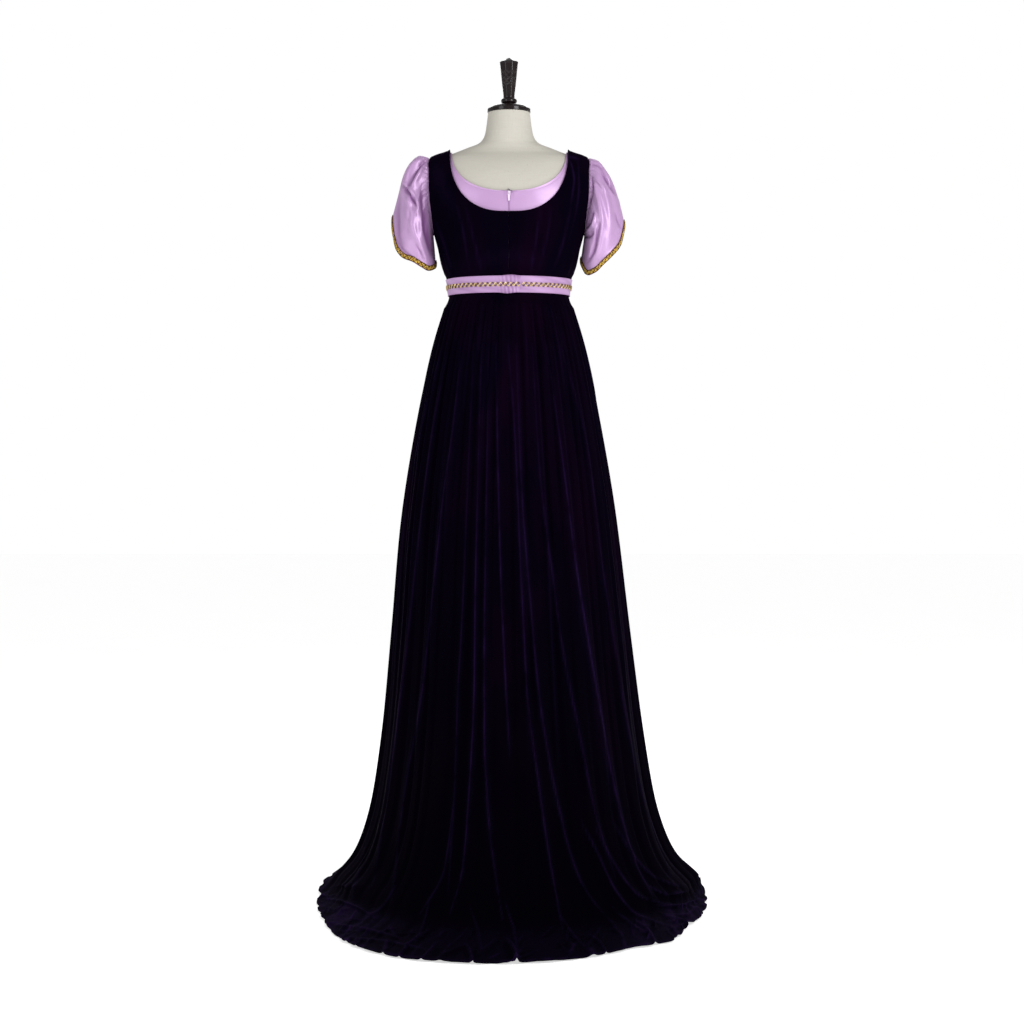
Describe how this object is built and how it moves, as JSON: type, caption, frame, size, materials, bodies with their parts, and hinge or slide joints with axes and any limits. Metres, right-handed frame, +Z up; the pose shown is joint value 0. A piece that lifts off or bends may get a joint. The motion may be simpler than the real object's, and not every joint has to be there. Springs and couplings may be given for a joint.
{
  "type": "two-piece gown on a limbless dress form",
  "caption": "Historic costume: trained velvet over-gown with belt over a satin under-dress with puffed sleeves, worn on a standing limbless dress form.",
  "frame": {"origin": "on the floor, under the centre of the form's round foot", "axes": "+Z up; the wearer faces -Y, so the train runs towards +Y; +X is the wearer's left"},
  "size_m": [0.8296, 1.25, 1.8221],
  "materials": {
    "lilac_satin": "lilac satin, smooth and glossy",
    "purple_velvet": "very dark blue-purple velvet, short nap",
    "gold_braid": "woven gold gimp braid",
    "linen_cover": "off-white linen cover, matte",
    "dark_wood": "dark stained and varnished wood",
    "black_metal": "satin black painted steel",
    "zip_enamel": "lilac enamelled zinc"
  },
  "bodies": {
    "gown_on_form": {"dress_back_left": "lilac_satin", "dress_back_right": "lilac_satin", "dress_front": "lilac_satin", "dress_skirt": "lilac_satin", "left_sleeve": "lilac_satin", "right_sleeve": "lilac_satin", "left_sleeve_braid": "gold_braid", "right_sleeve_braid": "gold_braid", "zip_slider": "zip_enamel", "gown_back_left": "purple_velvet", "gown_back_right": "purple_velvet", "gown_front": "purple_velvet", "gown_skirt_back_left": "purple_velvet", "gown_skirt_back_right": "purple_velvet", "gown_skirt_front": "purple_velvet", "gown_belt": "lilac_satin", "gown_belt_braid": "gold_braid", "form_body": "linen_cover", "form_neck_cap": "dark_wood", "form_handle": "dark_wood", "form_pole": "black_metal", "form_foot": "black_metal"},
    "zip_pull": {"zip_pull": "zip_enamel"}
  },
  "joints": [
    {"name": "zip_pull_swing", "type": "hinge", "parent": "gown_on_form", "child": "zip_pull", "pos_m": [0, 0.11412, 1.50703], "axis": [1, 0, 0], "range_deg": [0, 160]}
  ]
}
